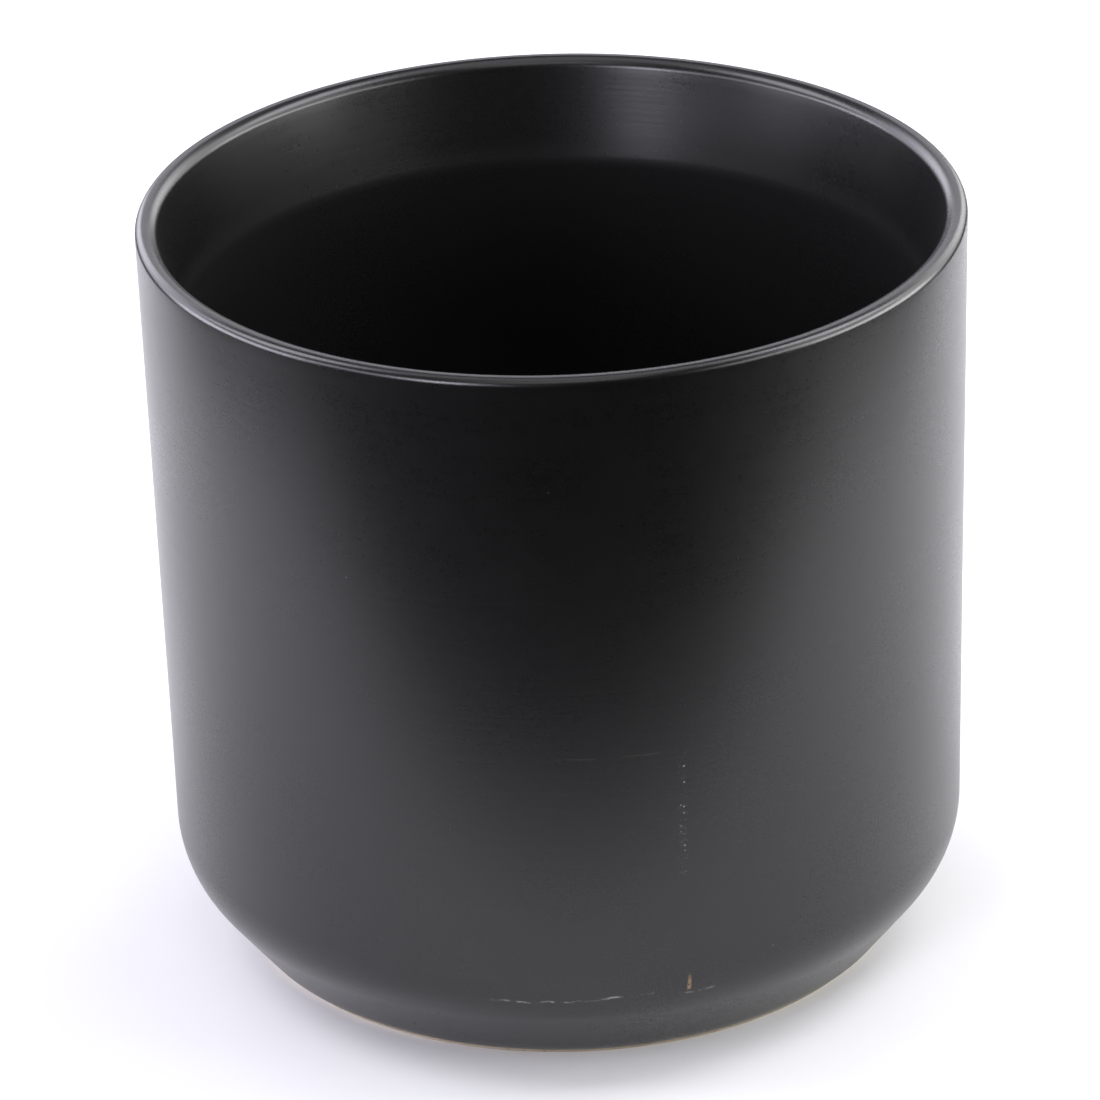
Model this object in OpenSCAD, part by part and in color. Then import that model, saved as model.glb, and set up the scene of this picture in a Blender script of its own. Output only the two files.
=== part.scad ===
// Ceramic jar with a nearly straight wall, a lip that flares inside, a rounded
// shoulder and a sloping foot. One fired clay body carries three coats of glaze: one
// outside, over the rim and down the lip, one in the bore and on the floor, and one
// in the recess under the foot. The ring that the jar stands on is bare clay.
// Millimetres, +Z up, origin at the centre of the face that the jar stands on.

/* [Jar] */
// Outside diameter over the glaze at the rim
rim_d = 140; // [130:1:150]
// Height of the jar from the standing face to the top of the rim
jar_h = 131.3; // [115:0.1:150]
// How much the wall leans in between the rim and the shoulder's corner
wall_taper = 1.95; // [0:0.05:3]

/* [Wall and floor] */
// Thickness of the clay at the rim
rim_clay_t = 2.8; // [2.4:0.1:4]
// Inside diameter over the glaze, below the lip
bore_d = 126; // [124:0.5:128]
// Height over which the lip flares, from the top of the rim down
lip_h = 18.1; // [10:0.1:22]
// Rounding of the clay where the lip meets the bore
lip_corner_r = 12; // [4:1:16]
// Thickness of the clay in the floor
floor_t = 5; // [4:0.5:8]
// Radius of the hollow corner between the bore and the floor
floor_corner_r = 16; // [8:0.5:17]
// Rounding of the clay's outer rim edge
rim_out_r = 1; // [0.4:0.05:1.1]
// Rounding of the clay's inner rim edge, softer than the outer one
rim_in_r = 1.7; // [0.4:0.05:1.8]

/* [Shoulder and foot] */
// Height of the corner that the shoulder rounds off
shoulder_h = 15.9; // [14:0.1:22]
// Radius of the clay's shoulder
shoulder_r = 16.7; // [8:0.1:20]
// Diameter of the standing ring, measured to its sharp outer corner
foot_d = 110.8; // [106:0.2:116]
// Width of the standing ring
foot_ring_w = 5; // [4:0.5:8]
// Depth of the recess inside the standing ring
recess_h = 2; // [1.5:0.1:3]
// Rounding of the standing ring's two edges
foot_edge_r = 0.5; // [0.2:0.05:0.7]

/* [Glaze] */
// Thickness of every coat of glaze
glaze_t = 0.35; // [0.2:0.05:0.5]
// How far the outer coat runs down the bore, from the lip's lower corner
overlap_h = 3.2; // [2:0.1:8]
// Height of the bare clay above the standing face
bare_h = 0.8; // [0.6:0.1:1.2]

/* [Hidden] */
$fn = 96;

// Straight pieces in each rounded corner of the half section
arc_steps = 12;

rim_r = rim_d / 2 - glaze_t;
clay_top = jar_h - glaze_t;
mouth_r = rim_r - rim_clay_t;
shoulder_corner_r = rim_r - wall_taper;
bore_r = bore_d / 2 + glaze_t;
lip_z = jar_h - lip_h;
floor_z = recess_h + floor_t;
foot_r = foot_d / 2;
ring_inner_r = foot_r - foot_ring_w;
recess_r = ring_inner_r - 0.75 * recess_h;
recess_corner_r = 0.6;

// Corners of the clay's half section as [radius, height, rounding]. They run from
// the middle of the underside, out and up the outside, over the rim, and down the
// inside to the middle of the floor, so the clay is always on the left.
foot_corner = [foot_r, 0, foot_edge_r];
ring_corner = [ring_inner_r, 0, foot_edge_r];
shoulder_corner = [shoulder_corner_r, shoulder_h, shoulder_r];
recess_corner = [recess_r, recess_h, recess_corner_r];
CORNERS = [
    [0, recess_h, 0],
    recess_corner,
    at_height(recess_corner, ring_corner, bare_h),
    ring_corner,
    foot_corner,
    at_height(foot_corner, shoulder_corner, bare_h),
    shoulder_corner,
    [rim_r, clay_top, rim_out_r],
    [mouth_r, clay_top, rim_in_r],
    [bore_r, lip_z, lip_corner_r],
    [bore_r, lip_z - overlap_h, 0],
    [bore_r, floor_z, floor_corner_r],
    [0, floor_z, 0]
];

// Places in CORNERS where a coat begins or ends
UNDERSIDE_MIDDLE = 0;
BASE_COAT_END = 2;
OUTER_COAT_START = 5;
OUTER_COAT_END = 10;
FLOOR_MIDDLE = len(CORNERS) - 1;

// Sharp corner on the straight line from a to b, at height z
function at_height(a, b, z) = [a[0] + (b[0] - a[0]) * (z - a[1]) / (b[1] - a[1]), z, 0];

function flat(corner) = [corner[0], corner[1]];
function unit(v) = v / norm(v);
function left_of(v) = [-v[1], v[0]];
function turned(v, angle) = [v[0] * cos(angle) - v[1] * sin(angle), v[0] * sin(angle) + v[1] * cos(angle)];

// Direction in which the outline leaves corner i; the last corner keeps the one before
function leaving(i) = let (k = min(i, FLOOR_MIDDLE - 1)) unit(flat(CORNERS[k + 1]) - flat(CORNERS[k]));
function arriving(i) = leaving(max(i - 1, 0));
// Angle by which the outline turns at corner i, positive to the left
function turn(i) = let (u = arriving(i), v = leaving(i)) atan2(u[0] * v[1] - u[1] * v[0], u * v);

// Corner i's sideways shift for each millimetre that the outline moves to its left
function mitre(i) = (left_of(arriving(i)) + left_of(leaving(i))) / (1 + arriving(i) * leaving(i));

// The points that corner i gives to an outline lying depth under the clay's surface.
// A negative depth lies above it, and a round corner keeps its centre.
function corner_points(i, depth) =
    let (
        side = turn(i) < 0 ? -1 : 1,
        rounding = CORNERS[i][2],
        radius = rounding - side * depth,
        centre = flat(CORNERS[i]) + mitre(i) * side * rounding
    )
    rounding == 0
        ? [flat(CORNERS[i]) + mitre(i) * depth]
        : [for (k = [0:arc_steps])
            centre - side * radius * turned(left_of(arriving(i)), turn(i) * k / arc_steps)];

function outline(first, last, depth) = [for (i = [first:last]) each corner_points(i, depth)];
function backwards(points) = [for (k = [len(points) - 1:-1:0]) points[k]];

// A coat of glaze on the clay's surface between two corners
module coat(first, last) {
    rotate_extrude()
        polygon(concat(outline(first, last, 0), backwards(outline(first, last, -glaze_t))));
}

module stoneware_body() {
    color("tan")
        rotate_extrude()
            polygon(outline(UNDERSIDE_MIDDLE, FLOOR_MIDDLE, 0));
}

module outer_glaze() {
    color([0.07, 0.07, 0.075])
        coat(OUTER_COAT_START, OUTER_COAT_END);
}

module liner_glaze() {
    color([0.02, 0.02, 0.022])
        coat(OUTER_COAT_END, FLOOR_MIDDLE);
}

module base_glaze() {
    color([0.05, 0.05, 0.055])
        coat(UNDERSIDE_MIDDLE, BASE_COAT_END);
}

stoneware_body();
outer_glaze();
liner_glaze();
base_glaze();
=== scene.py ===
"""Looks of an empty ceramic candle jar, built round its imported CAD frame. Units are metres.

The jar is one fired piece: a buff stoneware body under one satin black coat outside and down the
lip, another in the bore and on the floor, and a third in the recess below. Each is remade here as
a fine mesh of revolution.
"""

import math

import bpy
import numpy as np
from mathutils import Matrix, Vector

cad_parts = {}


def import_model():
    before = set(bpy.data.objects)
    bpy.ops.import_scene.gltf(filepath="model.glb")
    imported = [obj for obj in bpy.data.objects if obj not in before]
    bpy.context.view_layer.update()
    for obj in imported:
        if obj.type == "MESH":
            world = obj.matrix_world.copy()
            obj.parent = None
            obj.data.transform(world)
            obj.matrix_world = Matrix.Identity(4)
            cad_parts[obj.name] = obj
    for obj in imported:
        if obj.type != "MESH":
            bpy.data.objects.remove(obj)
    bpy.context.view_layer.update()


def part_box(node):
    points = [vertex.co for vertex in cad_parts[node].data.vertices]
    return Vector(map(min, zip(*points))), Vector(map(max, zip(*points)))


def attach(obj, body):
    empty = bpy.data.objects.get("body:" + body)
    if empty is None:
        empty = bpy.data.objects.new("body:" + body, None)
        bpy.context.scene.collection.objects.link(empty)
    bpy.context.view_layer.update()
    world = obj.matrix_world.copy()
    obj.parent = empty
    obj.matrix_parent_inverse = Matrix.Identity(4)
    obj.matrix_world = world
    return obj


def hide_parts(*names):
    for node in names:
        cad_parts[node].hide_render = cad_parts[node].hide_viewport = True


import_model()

MM = 0.001

# ---------------------------------------------------------------- sizes

outer_low, outer_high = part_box("outer_glaze")
liner_low, liner_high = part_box("liner_glaze")
body_low, body_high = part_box("stoneware_body")

GLAZE_T = outer_high.z - body_high.z
RIM_R = body_high.x
RIM_Z = body_high.z
OUTER_COAT_END_Z = liner_high.z
FLOOR_Z = liner_low.z
BARE_Z = 0.8 * MM

WALL_TAPER = 1.95 * MM
RIM_CLAY_T = 2.8 * MM
# Radius of the clay in the bore, under the glaze
BORE_R = 63.35 * MM
LIP_Z = 113.2 * MM
LIP_CORNER_R = 12 * MM
RIM_OUT_R = 1 * MM
RIM_IN_R = 1.7 * MM
FLOOR_CORNER_R = 16 * MM
SHOULDER_Z = 15.9 * MM
SHOULDER_R = 16.7 * MM
FOOT_R = 55.4 * MM
FOOT_RING_W = 5 * MM
FOOT_EDGE_R = 0.5 * MM
RECESS_Z = 2 * MM
RECESS_EDGE_R = 0.6 * MM

MOUTH_R = RIM_R - RIM_CLAY_T
SHOULDER_CORNER_R = RIM_R - WALL_TAPER
RING_INNER_R = FOOT_R - FOOT_RING_W
RECESS_R = RING_INNER_R - 0.75 * RECESS_Z

SEGMENTS = 384
ARC_STEPS = 20
STRAIGHT_STEP = 1.6 * MM
SHARP_ANGLE = math.radians(50)
# Angle of each segment round the jar, counted from its front
ANGLE = np.linspace(0, 2 * math.pi, SEGMENTS, endpoint=False)


# ---------------------------------------------------------------- half section

def at_height(a, b, z):
    """Sharp corner at height z on the straight line from a to b."""
    share = (z - a[1]) / (b[1] - a[1])
    return (a[0] + (b[0] - a[0]) * share, z, 0)


RECESS_CORNER = (RECESS_R, RECESS_Z, RECESS_EDGE_R)
RING_CORNER = (RING_INNER_R, 0, FOOT_EDGE_R)
FOOT_CORNER = (FOOT_R, 0, FOOT_EDGE_R)
SHOULDER_CORNER = (SHOULDER_CORNER_R, SHOULDER_Z, SHOULDER_R)

# Corners of the clay's half section (radius, height, rounding): from the middle of the underside,
# out and up the outside, over the rim and down the inside to the middle of the floor.
CORNERS = [
    (0, RECESS_Z, 0),
    RECESS_CORNER,
    at_height(RECESS_CORNER, RING_CORNER, BARE_Z),
    RING_CORNER,
    FOOT_CORNER,
    at_height(FOOT_CORNER, SHOULDER_CORNER, BARE_Z),
    SHOULDER_CORNER,
    (RIM_R, RIM_Z, RIM_OUT_R),
    (MOUTH_R, RIM_Z, RIM_IN_R),
    (BORE_R, LIP_Z, LIP_CORNER_R),
    (BORE_R, OUTER_COAT_END_Z, 0),
    (BORE_R, FLOOR_Z, FLOOR_CORNER_R),
    (0, FLOOR_Z, 0),
]
UNDERSIDE_MIDDLE, BASE_COAT_END, OUTER_COAT_START, OUTER_COAT_END = 0, 2, 5, 10
FLOOR_MIDDLE = len(CORNERS) - 1


def direction(i):
    """Unit direction in which the outline leaves corner i."""
    k = min(i, FLOOR_MIDDLE - 1)
    step = np.subtract(CORNERS[k + 1][:2], CORNERS[k][:2])
    return step / np.linalg.norm(step)


def left_of(v):
    return np.array((-v[1], v[0]))


def corner_path(i):
    """Points and outward normals that corner i gives to the clay's outline."""
    arriving, leaving = direction(max(i - 1, 0)), direction(i)
    corner, rounding = np.array(CORNERS[i][:2]), CORNERS[i][2]
    mitre = (left_of(arriving) + left_of(leaving)) / (1 + arriving @ leaving)
    if rounding == 0:
        return [(corner, -mitre / np.linalg.norm(mitre))]
    turn = math.atan2(arriving[0] * leaving[1] - arriving[1] * leaving[0], arriving @ leaving)
    side = math.copysign(1, turn)
    centre = corner + mitre * side * rounding
    points = []
    for k in range(ARC_STEPS + 1):
        angle = turn * k / ARC_STEPS
        c, s = math.cos(angle), math.sin(angle)
        x, y = left_of(arriving)
        normal = -np.array((x * c - y * s, x * s + y * c))
        points.append((centre + side * rounding * normal, normal))
    return points


def clay_path(first, last):
    """Closely spaced points, outward normals and running length of the outline between two corners."""
    sparse = [p for i in range(first, last + 1) for p in corner_path(i)]
    points, normals = [sparse[0][0]], [sparse[0][1]]
    for (a, na), (b, nb) in zip(sparse, sparse[1:]):
        steps = max(1, math.ceil(np.linalg.norm(b - a) / STRAIGHT_STEP))
        for k in range(1, steps + 1):
            points.append(a + (b - a) * k / steps)
            normals.append(na + (nb - na) * k / steps)
    points, normals = np.array(points), np.array(normals)
    normals /= np.linalg.norm(normals, axis=1)[:, None]
    lengths = np.concatenate(([0], np.cumsum(np.linalg.norm(np.diff(points, axis=0), axis=1))))
    return points, normals, lengths


# ---------------------------------------------------------------- meshes

def wave(angle, seed, terms, low=1):
    """Smooth closed wave round the jar, between about -1 and 1."""
    draw = np.random.default_rng(seed)
    total = np.zeros_like(angle)
    for k in range(terms):
        total += draw.uniform(0.4, 1) * np.sin((low + k) * angle + draw.uniform(0, 2 * math.pi))
    return total / math.sqrt(terms)


def lathe(name, rings):
    """Closed mesh from rings: an array of (ring, segment, xyz). A ring on the axis becomes one point."""
    vertices, faces, rows = [], [], []
    for ring in rings:
        start = len(vertices)
        on_axis = np.hypot(ring[:, 0], ring[:, 1]).max() < 1e-7
        if on_axis:
            vertices.append(tuple(ring[0]))
            rows.append([start] * SEGMENTS)
        else:
            vertices.extend(map(tuple, ring))
            rows.append(list(range(start, start + SEGMENTS)))
    # Each ring joins to the next, and the last one back to the first
    for lower, upper in zip(rows, rows[1:] + rows[:1]):
        for k in range(SEGMENTS):
            n = (k + 1) % SEGMENTS
            corners = [lower[k], lower[n], upper[n], upper[k]]
            face = list(dict.fromkeys(corners))
            if len(face) > 2:
                faces.append(face)
    mesh = bpy.data.meshes.new(name)
    mesh.from_pydata(vertices, [], faces)
    mesh.validate()
    mesh.shade_smooth()
    mesh.set_sharp_from_angle(angle=SHARP_ANGLE)
    piece = bpy.data.objects.new(name, mesh)
    bpy.context.scene.collection.objects.link(piece)
    return piece


def spin(points):
    """Turn a half-section point set into rings; points is (ring, segment, 2) or (ring, 2)."""
    if points.ndim == 2:
        points = np.repeat(points[:, None, :], SEGMENTS, axis=1)
    x = points[..., 0] * np.sin(ANGLE)
    y = -points[..., 0] * np.cos(ANGLE)
    return np.stack((x, y, points[..., 1]), axis=-1)


# Thickness left at a coat's free edge, as a share of the full coat
THINNEST_EDGE = 0.06
# Length of the first wave along the clay by which a coat's thickness wanders
WANDER_LENGTH = 9 * MM
# Radius below which the thickness wanders less and less, so that rings meet at the axis
EVEN_CENTRE_R = 20 * MM
EDGE_WAVE_REACH = 3 * MM


def coat(name, first, last, roll_start=0.0, roll_end=0.0, uneven=0.0, edge_wave=None):
    """A coat of glaze between two corners of the clay's outline.

    roll_start and roll_end are the lengths over which the coat rounds down to the clay at its ends.
    uneven is how far the coat's thickness wanders. edge_wave shifts its first edge along the clay.
    """
    points, normals, lengths = clay_path(first, last)
    thick = np.full(len(lengths), GLAZE_T)
    for roll, distance in ((roll_start, lengths), (roll_end, lengths[-1] - lengths)):
        if roll:
            inside = np.clip(distance / roll, 0, 1)
            thick *= np.sqrt(1 - (1 - inside) ** 2) * (1 - THINNEST_EDGE) + THINNEST_EDGE
    wander = sum(
        wave(ANGLE[None, :] + 0.7 * k, 11 + k, 9) * np.sin(lengths[:, None] / (WANDER_LENGTH * (k + 1)) + k)
        for k in range(3)
    ) / 3
    fade = np.clip(points[:, 0] / EVEN_CENTRE_R, 0, 1)[:, None]
    thickness = thick[:, None] + uneven * wander * fade
    outer = points[:, None, :] + normals[:, None, :] * thickness[..., None]
    inner = np.repeat(points[:, None, :], SEGMENTS, axis=1)
    if edge_wave is not None:
        along = direction(first)
        reach = np.clip(1 - lengths / EDGE_WAVE_REACH, 0, 1)[:, None, None]
        shift = reach * edge_wave[None, :, None] * along
        outer, inner = outer + shift, inner + shift
    rings = np.concatenate((spin(outer), spin(inner[::-1])))
    return lathe(name, rings)


# ---------------------------------------------------------------- materials

class Shader:
    """One material's nodes, with short names for the few that the glazes need."""

    def __init__(self, name):
        self.material = bpy.data.materials.new(name)
        self.material.use_nodes = True
        self.tree = self.material.node_tree
        self.tree.nodes.clear()
        self.surface = self.add("ShaderNodeBsdfPrincipled")
        output = self.add("ShaderNodeOutputMaterial")
        self.tree.links.new(self.surface.outputs["BSDF"], output.inputs["Surface"])
        self.place = self.add("ShaderNodeTexCoord").outputs["Object"]
        axes = self.add("ShaderNodeSeparateXYZ")
        self.put(self.place, axes.inputs[0])
        self.height = axes.outputs["Z"]
        x, y = axes.outputs["X"], axes.outputs["Y"]
        self.radius = self.math("SQRT", self.math("ADD", self.math("POWER", x, 2), self.math("POWER", y, 2)))
        self.angle = self.math("ARCTAN2", x, self.math("MULTIPLY", y, -1))

    def add(self, kind, **settings):
        node = self.tree.nodes.new(kind)
        for key, value in settings.items():
            setattr(node, key, value)
        return node

    def put(self, value, socket):
        """Give a socket a number or colour, or link it to another node's output."""
        if isinstance(value, bpy.types.NodeSocket):
            self.tree.links.new(value, socket)
        else:
            socket.default_value = value

    def set(self, **values):
        for key, value in values.items():
            self.put(value, self.surface.inputs[key.replace("_", " ")])

    def math(self, operation, *values):
        node = self.add("ShaderNodeMath", operation=operation)
        for value, socket in zip(values, node.inputs):
            self.put(value, socket)
        return node.outputs[0]

    def noise(self, size, stretch=(1, 1, 1), detail=2.0, roughness=0.5, seed=0.0):
        """Noise between 0 and 1, with features about size across, drawn out by stretch."""
        shape = self.add("ShaderNodeMapping")
        self.put(self.place, shape.inputs["Vector"])
        shape.inputs["Scale"].default_value = [1 / (size * s) for s in stretch]
        shape.inputs["Location"].default_value = (seed, 2 * seed, 3 * seed)
        node = self.add("ShaderNodeTexNoise")
        self.put(shape.outputs[0], node.inputs["Vector"])
        node.inputs["Scale"].default_value = 1
        node.inputs["Detail"].default_value = detail
        node.inputs["Roughness"].default_value = roughness
        return node.outputs["Fac"]

    def ramp(self, value, start, end, low=0.0, high=1.0):
        """Smooth step from low to high as value goes from start to end."""
        node = self.add("ShaderNodeMapRange", interpolation_type="SMOOTHSTEP")
        for key, number in zip(("Value", "From Min", "From Max", "To Min", "To Max"),
                               (value, start, end, low, high)):
            self.put(number, node.inputs[key])
        return node.outputs[0]

    def between(self, value, low, high, soft):
        """1 between low and high, falling to 0 over soft on each side."""
        rise = self.ramp(value, low - soft, low)
        fall = self.ramp(value, high, high + soft, 1.0, 0.0)
        return self.product(rise, fall)

    def mix(self, share, first, second):
        """Colour that goes from first to second as share goes from 0 to 1."""
        node = self.add("ShaderNodeMix", data_type="RGBA")
        for value, index in ((share, 0), (first, 6), (second, 7)):
            self.put(value, node.inputs[index])
        return node.outputs[2]

    def most(self, *values):
        """The largest of several values at each place."""
        top = values[0]
        for value in values[1:]:
            top = self.math("MAXIMUM", top, value)
        return top

    def product(self, *values):
        """Several values multiplied together."""
        result = values[0]
        for value in values[1:]:
            result = self.math("MULTIPLY", result, value)
        return result

    def scratch(self, along, across, start, end, centre, width, gap, seed):
        """A thin broken line that runs from start to end along one direction, wandering a little."""
        wander = self.product(self.math("SUBTRACT", self.noise(gap * 4, seed=seed), 0.5), width * 4)
        offset = self.math("SUBTRACT", self.math("SUBTRACT", across, centre), wander)
        offset = self.math("ABSOLUTE", offset)
        line = self.ramp(offset, width * 0.25, width * 0.6, 1.0, 0.0)
        breaks = self.ramp(self.noise(gap, detail=2, seed=seed + 5), 0.43, 0.56)
        length = self.between(along, start, end, gap)
        return self.product(line, breaks, length)

    def dots(self, spacing, radius, share, seed):
        """Small round dots, spacing apart or more; share is how many of the places hold one."""
        shape = self.add("ShaderNodeMapping")
        self.put(self.place, shape.inputs["Vector"])
        shape.inputs["Location"].default_value = (seed, 2 * seed, 3 * seed)
        cells = self.add("ShaderNodeTexVoronoi")
        self.put(shape.outputs[0], cells.inputs["Vector"])
        cells.inputs["Scale"].default_value = 1 / spacing
        near = self.ramp(cells.outputs["Distance"], radius / spacing * 0.6, radius / spacing, 1.0, 0.0)
        pick = self.add("ShaderNodeSeparateXYZ")
        self.put(cells.outputs["Color"], pick.inputs[0])
        return self.product(near, self.math("LESS_THAN", pick.outputs["X"], share))

    def bump(self, height, depth, strength=1.0, under=None):
        """Surface relief: height from 0 to 1 stands for depth in metres."""
        node = self.add("ShaderNodeBump")
        node.inputs["Strength"].default_value = strength
        node.inputs["Distance"].default_value = depth
        self.put(height, node.inputs["Height"])
        if under is not None:
            self.put(under, node.inputs["Normal"])
        return node.outputs[0]


def grey(level, tint=(1, 1, 1)):
    """A grey as a colour socket's four numbers."""
    return (level * tint[0], level * tint[1], level * tint[2], 1)


SATIN_BLACK = 0.0036
SATIN_ROUGHNESS = 0.285
SATIN_IOR = 1.55
# Painted light: the bore and the floor inside get a black about three times lighter than the outside's, to
# lift the shaded bore
BORE_BLACK_WITH_PAINTED_LIGHT = grey(0.010)
# Painted light: the lighter black that the cone gets in place of the reflection it catches
SHOULDER_PAINTED_LIGHT = grey(0.018)
# Radius over the glaze in the bore, where the lip ends
LIP_BOTTOM_R = BORE_R - GLAZE_T
# Heights between which the painted light on the cone, a lighter black standing in for the reflection it
# catches, gives way to the wall's black
PAINTED_LIGHT_FULL_Z = 10 * MM
PAINTED_LIGHT_END_Z = 17 * MM
DARK_BUFF = (0.40, 0.33, 0.23, 1)
LIGHT_BUFF = (0.50, 0.42, 0.31, 1)
CLAY_SPECK = (0.16, 0.11, 0.07, 1)
PALE_CHIP = (0.26, 0.25, 0.22, 1)
TAN_RUB = (0.30, 0.18, 0.09, 1)
CHIPS_LOW_Z = 40 * MM
CHIPS_HIGH_Z = 61 * MM


def at(degrees):
    """Distance round the outside of the jar from its front, for an angle in degrees."""
    return math.radians(degrees) * RIM_R


def chip_column(s, round_jar):
    """Column of small chips, with dust between them, right of the jar's front."""
    chips = s.product(
        s.dots(0.7 * MM, 0.20 * MM, 0.32, 21.0),
        s.between(round_jar, at(15.7), at(16.1), 0.5 * MM),
        s.between(s.height, CHIPS_LOW_Z, CHIPS_HIGH_Z, 1 * MM))
    dust = s.product(
        s.ramp(s.noise(0.8 * MM, stretch=(1, 1, 0.6), detail=3, seed=22.0), 0.56, 0.75, 0.0, 0.22),
        s.between(round_jar, at(15.4), at(16.3), 0.6 * MM),
        s.between(s.height, CHIPS_LOW_Z, CHIPS_HIGH_Z, 2 * MM))
    return s.most(chips, dust)


def shoulder_scratches(s, round_jar):
    """Broken pale scratches round the shoulder, stronger in some places than in others."""
    lines = s.most(
        s.scratch(round_jar, s.height, at(-11), at(-6.5), 16.3 * MM, 0.45 * MM, 1.8 * MM, 31.0),
        s.scratch(round_jar, s.height, at(-4.5), at(4.5), 16.4 * MM, 0.34 * MM, 0.8 * MM, 33.0),
        s.scratch(round_jar, s.height, at(5), at(10.5), 16.8 * MM, 0.48 * MM, 2.6 * MM, 34.0),
        s.scratch(round_jar, s.height, at(16.8), at(19.6), 16.1 * MM, 0.42 * MM, 1.6 * MM, 36.0))
    strength = s.ramp(s.noise(3 * MM, detail=2, seed=39.0), 0.35, 0.65, 0.2, 0.9)
    return s.product(lines, strength)


def tan_rub(s, round_jar):
    """Short upright rub in a tan colour, broken up and fading upwards."""
    return s.product(
        s.between(round_jar, at(16.35), at(16.6), 0.3 * MM),
        s.ramp(s.height, 16.2 * MM, 17.0 * MM),
        s.ramp(s.height, 17.2 * MM, 20.5 * MM, 1.0, 0.0),
        s.ramp(s.noise(0.5 * MM, detail=2, seed=38.0), 0.35, 0.55))


def pale_marks(s, round_jar):
    """Mask of every pale mark on the outside."""
    faint = s.scratch(round_jar, s.height, at(-1), at(13), 62.5 * MM, 0.30 * MM, 2.5 * MM, 37.0)
    specks = s.dots(11 * MM, 0.20 * MM, 0.35, 41.0)
    return s.most(chip_column(s, round_jar), shoulder_scratches(s, round_jar),
                  s.product(faint, 0.06), s.product(specks, 0.3))


def satin_black(name, marks_and_painted_light):
    """Satin black glaze with fine turning lines and a fine grain, and painted light that makes the bore a
    lighter black; the outside also has old marks and painted light on its cone.
    """
    s = Shader(name)
    blotch = s.noise(22 * MM, detail=3, seed=1.0)
    mottle = s.noise(1.6 * MM, detail=3, seed=5.0)
    grain = s.noise(0.5 * MM, detail=1, seed=2.0)
    lines = s.noise(1.0 * MM, stretch=(90, 90, 0.7), detail=3, seed=3.0)
    base = s.mix(blotch, grey(SATIN_BLACK * 0.6), grey(SATIN_BLACK * 1.5, (1.05, 1.0, 0.97)))
    base = s.mix(s.ramp(mottle, 0.45, 0.75, 0.0, 0.35), base, grey(SATIN_BLACK * 1.8))
    # Painted light lifting the shaded bore and floor inside
    base = s.mix(s.ramp(s.radius, LIP_BOTTOM_R + 1 * MM, LIP_BOTTOM_R), base, BORE_BLACK_WITH_PAINTED_LIGHT)
    # The four textures add 0.08 on average, so the mean is SATIN_ROUGHNESS
    rough = SATIN_ROUGHNESS - 0.08
    for texture, weight in ((blotch, 0.06), (lines, 0.03), (mottle, 0.02), (grain, 0.05)):
        rough = s.math("ADD", rough, s.product(texture, weight))
    relief = s.bump(lines, 0.015 * MM, 0.5)
    relief = s.bump(grain, 0.012 * MM, 0.6, relief)
    if marks_and_painted_light:
        # Painted light on the cone below the wall, standing in for the reflection it catches
        base = s.mix(s.ramp(s.height, PAINTED_LIGHT_FULL_Z, PAINTED_LIGHT_END_Z, 1.0, 0.0), base, SHOULDER_PAINTED_LIGHT)
        round_jar = s.product(s.angle, RIM_R)
        pale, rub = pale_marks(s, round_jar), tan_rub(s, round_jar)
        base = s.mix(pale, base, PALE_CHIP)
        base = s.mix(rub, base, TAN_RUB)
        rough = s.math("ADD", rough, s.ramp(s.most(pale, rub), 0.0, 1.0, 0.0, 0.35))
    s.set(Base_Color=base, Roughness=rough, IOR=SATIN_IOR, Normal=relief)
    return s.material


def base_black():
    """The coat in the recess: satin, a little uneven."""
    s = Shader("base_black_glaze")
    blotch = s.noise(9 * MM, detail=4, seed=6.0)
    s.set(Base_Color=s.mix(blotch, grey(0.005), grey(0.009)),
          Roughness=s.ramp(blotch, 0.3, 0.7, 0.32, 0.48), IOR=1.5)
    s.set(Normal=s.bump(blotch, 0.05 * MM, 0.5))
    return s.material


def bare_clay():
    """Fired buff clay with a fine grain and darker specks."""
    s = Shader("bare_buff_clay")
    blotch = s.noise(6 * MM, detail=4, seed=7.0)
    grain = s.noise(0.35 * MM, detail=3, seed=8.0)
    specks = s.ramp(s.noise(0.8 * MM, detail=1, seed=9.0), 0.68, 0.74)
    buff = s.mix(blotch, DARK_BUFF, LIGHT_BUFF)
    s.set(Base_Color=s.mix(specks, buff, CLAY_SPECK), Roughness=0.9)
    s.set(Normal=s.bump(grain, 0.05 * MM, 0.6))
    return s.material


# ---------------------------------------------------------------- pieces

# How far the outer coat's lower edge wanders along the clay, slowly and quickly round the jar
SLOW_FOOT_WAVE = 0.14 * MM
QUICK_FOOT_WAVE = 0.05 * MM
# Length over which a coat rounds down to the clay at a free edge
EDGE_ROLL = 0.5 * MM


def dress(piece, material, node):
    """Give a piece its material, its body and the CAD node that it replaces."""
    piece.data.materials.append(material)
    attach(piece, "root")
    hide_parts(node)


def build_jar():
    points, _, _ = clay_path(UNDERSIDE_MIDDLE, FLOOR_MIDDLE)
    body = lathe("fired_body", spin(points))
    dress(body, bare_clay(), "stoneware_body")

    foot_line = SLOW_FOOT_WAVE * wave(ANGLE, 3, 14) + QUICK_FOOT_WAVE * wave(ANGLE, 4, 40, 15)
    outer = coat("satin_coat", OUTER_COAT_START, OUTER_COAT_END, roll_start=EDGE_ROLL,
                 uneven=0.03 * MM, edge_wave=foot_line)
    dress(outer, satin_black("satin_black_glaze", True), "outer_glaze")

    liner = coat("satin_liner", OUTER_COAT_END, FLOOR_MIDDLE, uneven=0.04 * MM)
    dress(liner, satin_black("liner_black_glaze", False), "liner_glaze")

    base = coat("base_coat", UNDERSIDE_MIDDLE, BASE_COAT_END, roll_end=EDGE_ROLL, uneven=0.04 * MM)
    dress(base, base_black(), "base_glaze")


# ---------------------------------------------------------------- studio

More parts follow.
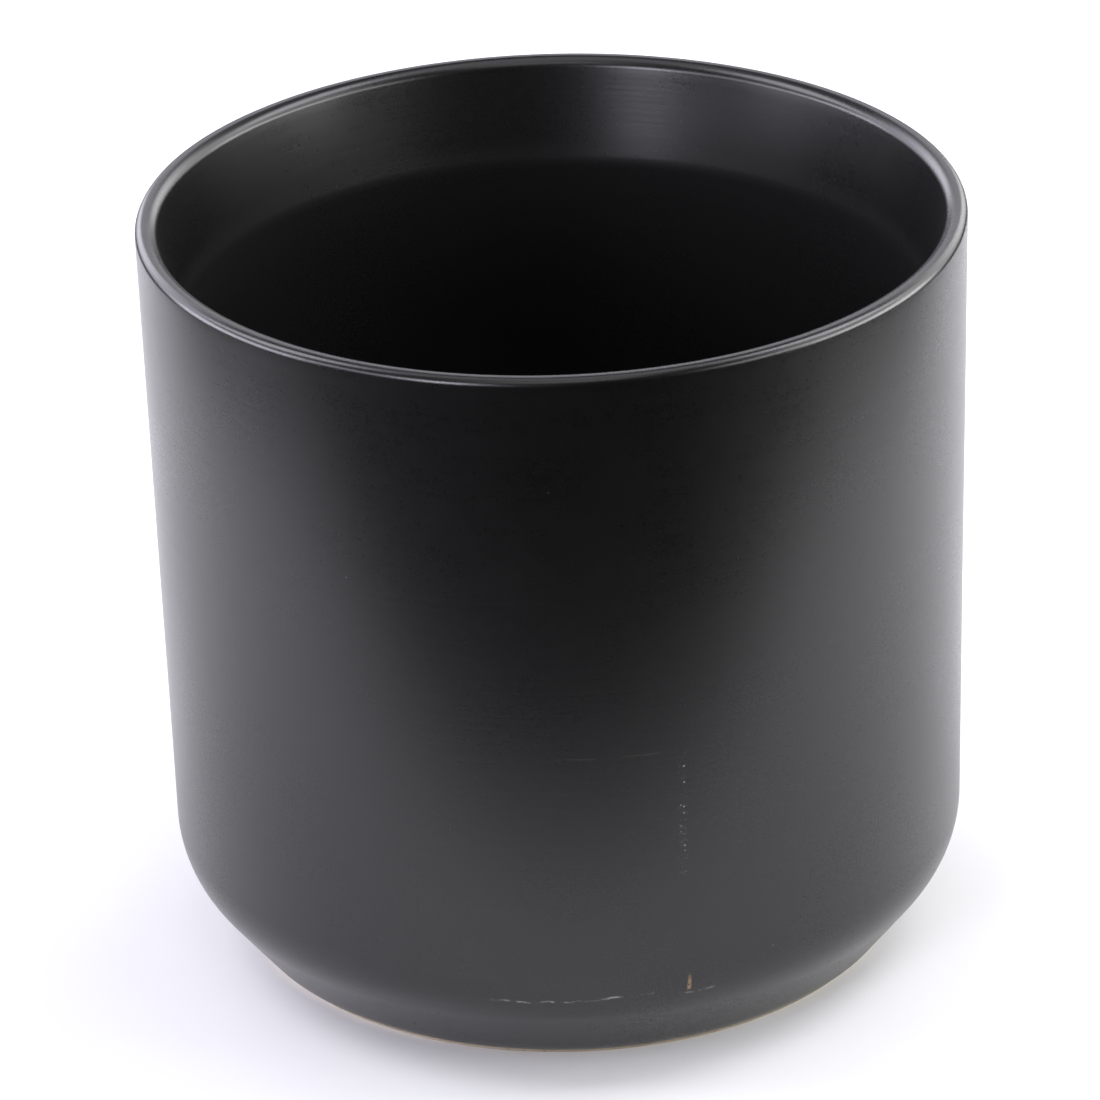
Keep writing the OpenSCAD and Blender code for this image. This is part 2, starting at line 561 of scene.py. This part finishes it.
# Camera of the photo: lens in millimetres on a 36 mm sensor, and turns from level and straight ahead
CAMERA_LENS = 242.1
CAMERA_PLACE = Vector((0, -1.1431, 0.6209))
CAMERA_DOWN = math.radians(25.834)
CAMERA_YAW = math.radians(-0.096)
CAMERA_ROLL = math.radians(-1.779)


def camera():
    """The photo's viewpoint."""
    data = bpy.data.cameras.new("camera")
    data.sensor_width = 36
    data.lens = CAMERA_LENS
    data.clip_start = 0.05
    data.clip_end = 20
    forward = Vector((math.sin(CAMERA_YAW) * math.cos(CAMERA_DOWN),
                      math.cos(CAMERA_YAW) * math.cos(CAMERA_DOWN), -math.sin(CAMERA_DOWN)))
    right = Vector((math.cos(CAMERA_YAW), -math.sin(CAMERA_YAW), 0))
    up = right.cross(forward)
    c, s = math.cos(CAMERA_ROLL), math.sin(CAMERA_ROLL)
    right, up = right * c + up * s, up * c - right * s
    holder = bpy.data.objects.new("camera", data)
    facing = Matrix((right, up, -forward)).transposed().to_4x4()
    holder.matrix_world = Matrix.Translation(CAMERA_PLACE) @ facing
    bpy.context.scene.collection.objects.link(holder)
    bpy.context.scene.camera = holder


LAMP_DISTANCE = 0.8
MOUTH_HEIGHT = 0.13


def around(azimuth, rise):
    """A lamp's place, by degrees round from the front and degrees above the middle of the mouth."""
    turn, lift = math.radians(azimuth), math.radians(rise)
    level = LAMP_DISTANCE * math.cos(lift)
    return (level * math.sin(turn), -level * math.cos(turn), MOUTH_HEIGHT + LAMP_DISTANCE * math.sin(lift))


def softbox(name, centre, target, size, watts, colour=(1, 1, 1)):
    """Oblong area light at centre that faces target."""
    light = bpy.data.lights.new(name, "AREA")
    light.shape = "RECTANGLE"
    light.size, light.size_y = size
    light.energy = watts
    light.color = colour
    holder = bpy.data.objects.new(name, light)
    holder.location = centre
    holder.rotation_euler = (Vector(target) - Vector(centre)).to_track_quat("-Z", "Y").to_euler()
    bpy.context.scene.collection.objects.link(holder)


FLOOR_FRONT = 0.20
PAINTED_SHADE_START = 0.115
FLOOR_SIDE = 0.30
FLOOR_BACK = 1.6
FLOOR_CORNERS = 48
# Darkest painted shade, at the front edge where the light falls off in front of the jar, and the paper's two
# slightly different whites
FLOOR_PAINTED_SHADE_GREY = 0.08
FLOOR_WHITES = (0.71, 0.73)


def floor():
    """White sheet, rounded in front, that ends a short way in front of the jar, with painted shade darkening
    it towards that edge where the light falls off.

    The jar's upper front mirrors what lies past that edge, so the painted shade there is what makes it dark.
    """
    mesh = bpy.data.meshes.new("floor")
    corners = []
    for k in range(FLOOR_CORNERS + 1):
        turn = math.pi * (1 + k / FLOOR_CORNERS)
        corners.append((FLOOR_SIDE * math.cos(turn), FLOOR_FRONT * math.sin(turn), 0))
    corners += [(FLOOR_SIDE, FLOOR_BACK, 0), (-FLOOR_SIDE, FLOOR_BACK, 0)]
    mesh.from_pydata(corners, [], [tuple(range(len(corners)))])
    plate = bpy.data.objects.new("floor", mesh)
    bpy.context.scene.collection.objects.link(plate)
    s = Shader("white_floor")
    paper = s.noise(40 * MM, detail=2, seed=10.0)
    axes = s.add("ShaderNodeSeparateXYZ")
    s.put(s.place, axes.inputs[0])
    # Painted shade: the sheet darkens towards its front edge in place of light falling off
    fade = s.ramp(axes.outputs["Y"], -FLOOR_FRONT, -PAINTED_SHADE_START)
    white = s.mix(paper, grey(FLOOR_WHITES[0]), grey(FLOOR_WHITES[1]))
    s.set(Base_Color=s.mix(fade, grey(FLOOR_PAINTED_SHADE_GREY), white), Roughness=0.8)
    s.surface.inputs["Specular IOR Level"].default_value = 0.2
    mesh.materials.append(s.material)


def world():
    """White where the camera sees past the floor, and no light of its own on the jar."""
    sky = bpy.data.worlds.new("studio")
    bpy.context.scene.world = sky
    sky.use_nodes = True
    tree = sky.node_tree
    tree.nodes.clear()
    path = tree.nodes.new("ShaderNodeLightPath")
    mixer = tree.nodes.new("ShaderNodeMixShader")
    room = tree.nodes.new("ShaderNodeBackground")
    room.inputs["Strength"].default_value = 0.0
    back = tree.nodes.new("ShaderNodeBackground")
    back.inputs["Strength"].default_value = 1.0
    output = tree.nodes.new("ShaderNodeOutputWorld")
    tree.links.new(path.outputs["Is Camera Ray"], mixer.inputs[0])
    tree.links.new(room.outputs[0], mixer.inputs[1])
    tree.links.new(back.outputs[0], mixer.inputs[2])
    tree.links.new(mixer.outputs[0], output.inputs["Surface"])


def studio():
    bpy.context.scene.view_settings.view_transform = "Standard"
    bpy.context.scene.view_settings.look = "None"
    world()
    floor()
    jar_middle = (0, 0, 0.06)
    rim_height = (0, 0, 0.12)
    cool = (0.93, 0.925, 1.0)
    lilac = (0.90, 0.88, 1.0)
    softbox("left_low", (-0.7, 0, 0.16), jar_middle, (0.6, 0.3), 4.9, lilac)
    softbox("right_low", (0.7, 0, 0.16), jar_middle, (0.6, 0.3), 5.0)
    softbox("right_high", (0.62, 0, 0.52), jar_middle, (0.6, 0.35), 1.4)
    softbox("left_back", (-0.6, 0.6, 0.4), jar_middle, (0.9, 0.6), 5.9, lilac)
    softbox("right_back", (0.6, 0.6, 0.4), jar_middle, (0.9, 0.6), 4.6)
    softbox("back_panel", (0, 1.3, 0.62), rim_height, (2.4, 0.45), 6.5, cool)
    softbox("front_top", (0, -0.55, 0.95), jar_middle, (0.6, 0.5), 1.3)
    softbox("top", (0.05, 0.1, 1.0), jar_middle, (0.8, 0.7), 2.3, cool)
    softbox("left_top", (-0.60, 0.10, 0.78), rim_height, (0.42, 0.50), 4.5, cool)
    softbox("right_top", (0.56, 0.15, 0.82), rim_height, (0.42, 0.45), 4.1, cool)
    softbox("front_left", around(-30, 14), rim_height, (0.20, 0.25), 2.4, lilac)
    softbox("front_left_wide", around(-56, 14), rim_height, (0.42, 0.25), 1.2, lilac)
    softbox("front_right", around(57, 16), rim_height, (0.36, 0.25), 1.3)
    camera()


build_jar()
studio()
